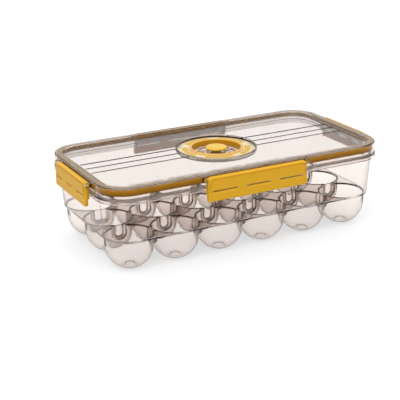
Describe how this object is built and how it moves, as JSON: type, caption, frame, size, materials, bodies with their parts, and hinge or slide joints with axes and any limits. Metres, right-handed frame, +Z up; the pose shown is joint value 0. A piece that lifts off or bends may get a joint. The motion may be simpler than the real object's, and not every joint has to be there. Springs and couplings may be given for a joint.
{
  "type": "refrigerator storage box",
  "caption": "Clear rectangular egg box for the refrigerator: a tray of round cups, a gasketed lid held by hinged side latches, and a turning dial round an air vent.",
  "frame": {"origin": "centre of the plan, at the height of the surface the cups stand on", "axes": "+X along the length of the box, -Y towards its front long side, +Z up"},
  "size_m": [0.325, 0.175, 0.09],
  "materials": {
    "tray": "clear smoky amber plastic, glossy",
    "lid": "clear plastic with a faint amber tint, glossy",
    "gasket": "satin silicone, amber yellow",
    "latch": "opaque golden yellow plastic, satin gloss",
    "dial": "golden yellow plastic, glossy",
    "shutter": "clear plastic, glossy",
    "knob": "golden yellow plastic, glossy",
    "washer": "translucent white silicone, satin",
    "clip": "white plastic, satin"
  },
  "bodies": {
    "tray": {"tray": "tray"},
    "lid": {"lid": "lid", "lid_gasket": "gasket", "vent_washer": "washer"},
    "front_latch": {"front_latch": "latch"},
    "rear_latch": {"rear_latch": "latch"},
    "left_latch": {"left_latch": "latch"},
    "right_latch": {"right_latch": "latch"},
    "dial": {"dial_ring": "dial"},
    "vent": {"vent_shutter": "shutter", "vent_knob": "knob", "knob_clip": "clip"}
  },
  "joints": [
    {"name": "lid_lift", "type": "slide", "parent": "tray", "child": "lid", "axis": [0, 0, 1], "range_m": [0, 0.06]},
    {"name": "front_latch_hinge", "type": "hinge", "parent": "lid", "child": "front_latch", "pos_m": [0, -0.08435, 0.0856], "axis": [-1, 0, 0], "range_deg": [0, 150]},
    {"name": "rear_latch_hinge", "type": "hinge", "parent": "lid", "child": "rear_latch", "pos_m": [0, 0.08435, 0.0856], "axis": [1, 0, 0], "range_deg": [0, 150]},
    {"name": "left_latch_hinge", "type": "hinge", "parent": "lid", "child": "left_latch", "pos_m": [-0.15935, 0, 0.0856], "axis": [0, 1, 0], "range_deg": [0, 150]},
    {"name": "right_latch_hinge", "type": "hinge", "parent": "lid", "child": "right_latch", "pos_m": [0.15935, 0, 0.0856], "axis": [0, -1, 0], "range_deg": [0, 150]},
    {"name": "dial_spin", "type": "hinge", "parent": "lid", "child": "dial", "pos_m": [0, 0, 0.0864], "axis": [0, 0, 1], "continuous": true},
    {"name": "vent_turn", "type": "hinge", "parent": "lid", "child": "vent", "pos_m": [0, 0, 0.0864], "axis": [0, 0, 1], "continuous": true}
  ]
}
